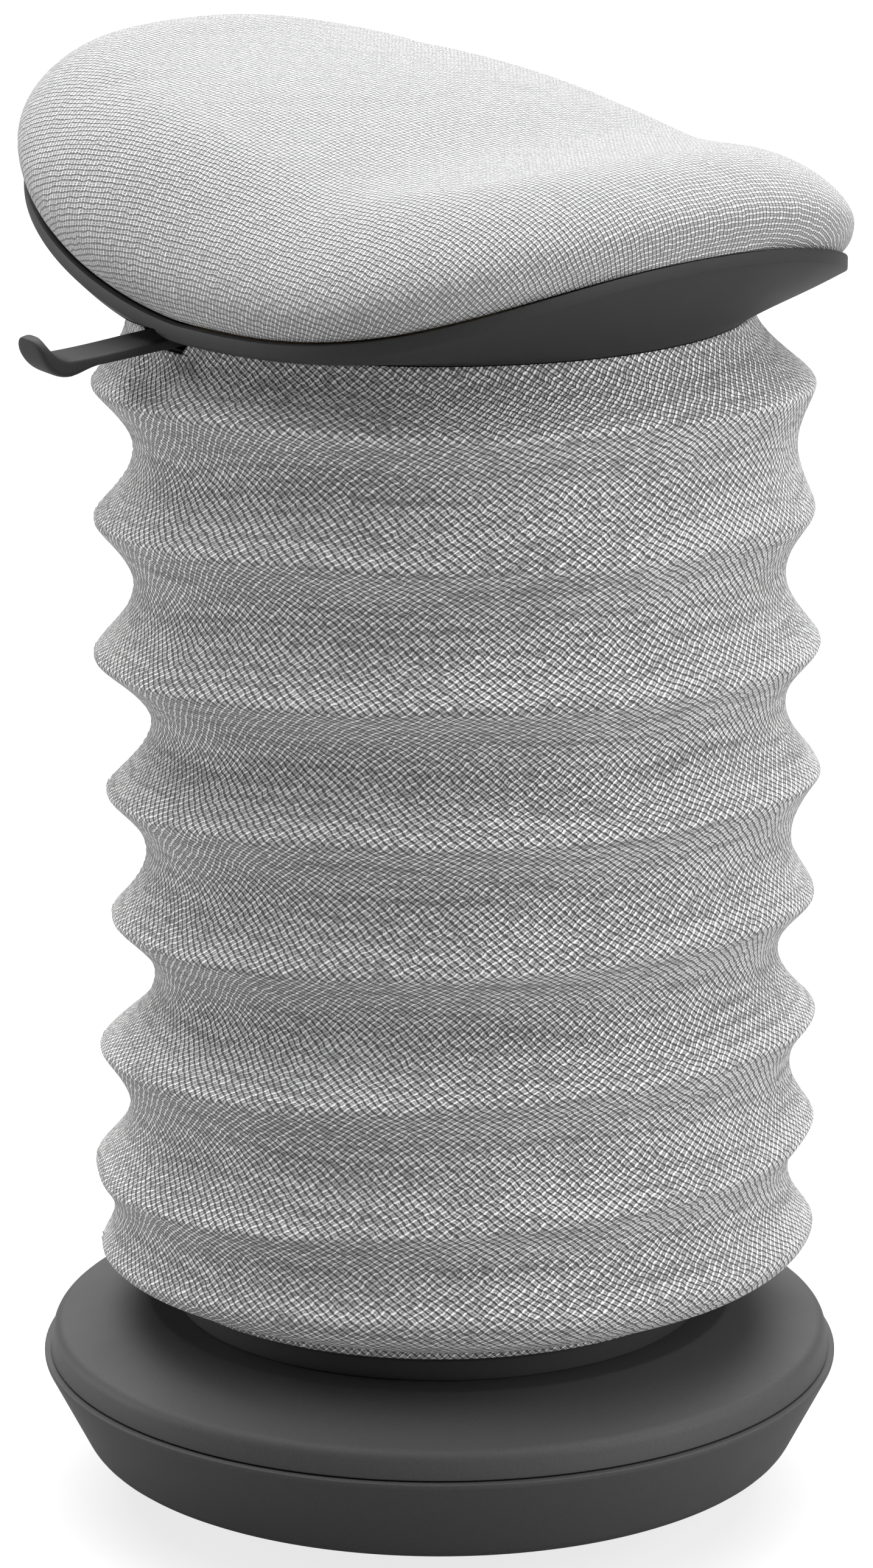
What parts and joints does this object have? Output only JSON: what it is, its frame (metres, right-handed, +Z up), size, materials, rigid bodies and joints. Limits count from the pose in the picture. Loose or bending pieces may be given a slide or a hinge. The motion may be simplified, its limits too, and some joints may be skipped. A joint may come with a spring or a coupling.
{
  "type": "wobble stool",
  "caption": "Active-sitting stool with a rocking weighted base, a hooped fabric sleeve over a gas spring, a padded saddle seat and a lift lever.",
  "frame": {"origin": "centre of the flat of the sole, on the floor under the column", "axes": "+Z up along the column, -Y towards the front of the seat, -X towards the sitter's right, where the lever is"},
  "size_m": [0.3579, 0.3562, 0.618],
  "materials": {
    "moulded_plastic": "satin, fine grain",
    "sole_rubber": "matte",
    "bumper_rubber": "matte",
    "ballast_iron": "as cast",
    "painted_steel": "satin black paint",
    "bright_steel": "zinc plated",
    "pale_resin": "satin",
    "plywood": "bare",
    "sleeve_fabric": "two-tone woven knit",
    "seat_fabric": "two-tone woven knit"
  },
  "bodies": {
    "base": {"base_bowl": "moulded_plastic", "base_sole": "sole_rubber", "base_cover": "moulded_plastic", "base_ballast": "ballast_iron", "column_socket": "painted_steel", "stand_tube": "painted_steel", "guide_bush": "pale_resin", "bearing_race_lower": "bright_steel", "sleeve_retainer": "moulded_plastic", "socket_bolt_1": "bright_steel", "socket_bolt_2": "bright_steel", "socket_bolt_3": "bright_steel", "socket_bolt_4": "bright_steel", "cover_screw_1": "bright_steel", "cover_screw_2": "bright_steel", "cover_screw_3": "bright_steel", "cover_screw_4": "bright_steel"},
    "column": {"piston_rod": "bright_steel", "rod_clip": "bright_steel", "rod_washer": "bright_steel", "bearing_cage": "bright_steel", "bearing_race_upper": "bright_steel", "rod_bumper": "bumper_rubber", "piston": "pale_resin", "piston_nut": "bright_steel", "sleeve_lower_ring": "moulded_plastic", "sleeve_fabric": "sleeve_fabric"},
    "hoop_1": {"sleeve_hoop_1": "bright_steel"},
    "hoop_2": {"sleeve_hoop_2": "bright_steel"},
    "hoop_3": {"sleeve_hoop_3": "bright_steel"},
    "hoop_4": {"sleeve_hoop_4": "bright_steel"},
    "hoop_5": {"sleeve_hoop_5": "bright_steel"},
    "hoop_6": {"sleeve_hoop_6": "bright_steel"},
    "hoop_7": {"sleeve_hoop_7": "bright_steel"},
    "hoop_8": {"sleeve_hoop_8": "bright_steel"},
    "seat": {"gas_cylinder": "painted_steel", "rod_guide": "pale_resin", "valve_body": "bright_steel", "sleeve_upper_ring": "moulded_plastic", "seat_bracket": "painted_steel", "seat_shell": "moulded_plastic", "seat_board": "plywood", "seat_cushion": "seat_fabric", "seat_screw_1": "bright_steel", "seat_screw_2": "bright_steel", "seat_screw_3": "bright_steel", "seat_screw_4": "bright_steel", "lever_pin": "bright_steel", "lever_pin_clip": "bright_steel"},
    "lever": {"lever_arm": "painted_steel", "lever_handle": "moulded_plastic"},
    "valve": {"release_pin": "bright_steel"}
  },
  "joints": [
    {"name": "seat_swivel", "type": "hinge", "parent": "base", "child": "column", "pos_m": [0, 0, 0.027], "axis": [0, 0, 1], "continuous": true},
    {"name": "height_slide", "type": "slide", "parent": "column", "child": "seat", "axis": [0, 0, 1], "range_m": [-0.13, 0], "deforming": ["sleeve_fabric"]},
    {"name": "hoop_slide_1", "type": "slide", "parent": "column", "child": "hoop_1", "axis": [0, 0, 1], "range_m": [-0.0048, 0]},
    {"name": "hoop_slide_2", "type": "slide", "parent": "column", "child": "hoop_2", "axis": [0, 0, 1], "range_m": [-0.0178, 0]},
    {"name": "hoop_slide_3", "type": "slide", "parent": "column", "child": "hoop_3", "axis": [0, 0, 1], "range_m": [-0.0335, 0]},
    {"name": "hoop_slide_4", "type": "slide", "parent": "column", "child": "hoop_4", "axis": [0, 0, 1], "range_m": [-0.0509, 0]},
    {"name": "hoop_slide_5", "type": "slide", "parent": "column", "child": "hoop_5", "axis": [0, 0, 1], "range_m": [-0.0674, 0]},
    {"name": "hoop_slide_6", "type": "slide", "parent": "column", "child": "hoop_6", "axis": [0, 0, 1], "range_m": [-0.0856, 0]},
    {"name": "hoop_slide_7", "type": "slide", "parent": "column", "child": "hoop_7", "axis": [0, 0, 1], "range_m": [-0.1033, 0]},
    {"name": "hoop_slide_8", "type": "slide", "parent": "column", "child": "hoop_8", "axis": [0, 0, 1], "range_m": [-0.1202, 0]},
    {"name": "lever_hinge", "type": "hinge", "parent": "seat", "child": "lever", "pos_m": [-0.05869, 0.01247, 0.4973], "axis": [0.2079, 0.9781, 0], "range_deg": [0, 3], "stiffness_Nm_per_rad": 2, "springref_deg": -2.86},
    {"name": "valve_slide", "type": "slide", "parent": "seat", "child": "valve", "axis": [0, 0, 1], "range_m": [-0.0032, 0]}
  ],
  "couplings": [
    {"joint": "hoop_slide_1", "follows": "height_slide", "ratio": 0.036},
    {"joint": "hoop_slide_2", "follows": "height_slide", "ratio": 0.136},
    {"joint": "hoop_slide_3", "follows": "height_slide", "ratio": 0.257},
    {"joint": "hoop_slide_4", "follows": "height_slide", "ratio": 0.391},
    {"joint": "hoop_slide_5", "follows": "height_slide", "ratio": 0.518},
    {"joint": "hoop_slide_6", "follows": "height_slide", "ratio": 0.658},
    {"joint": "hoop_slide_7", "follows": "height_slide", "ratio": 0.794},
    {"joint": "hoop_slide_8", "follows": "height_slide", "ratio": 0.924},
    {"joint": "valve_slide", "follows": "lever_hinge", "m_per_rad": -0.06}
  ]
}
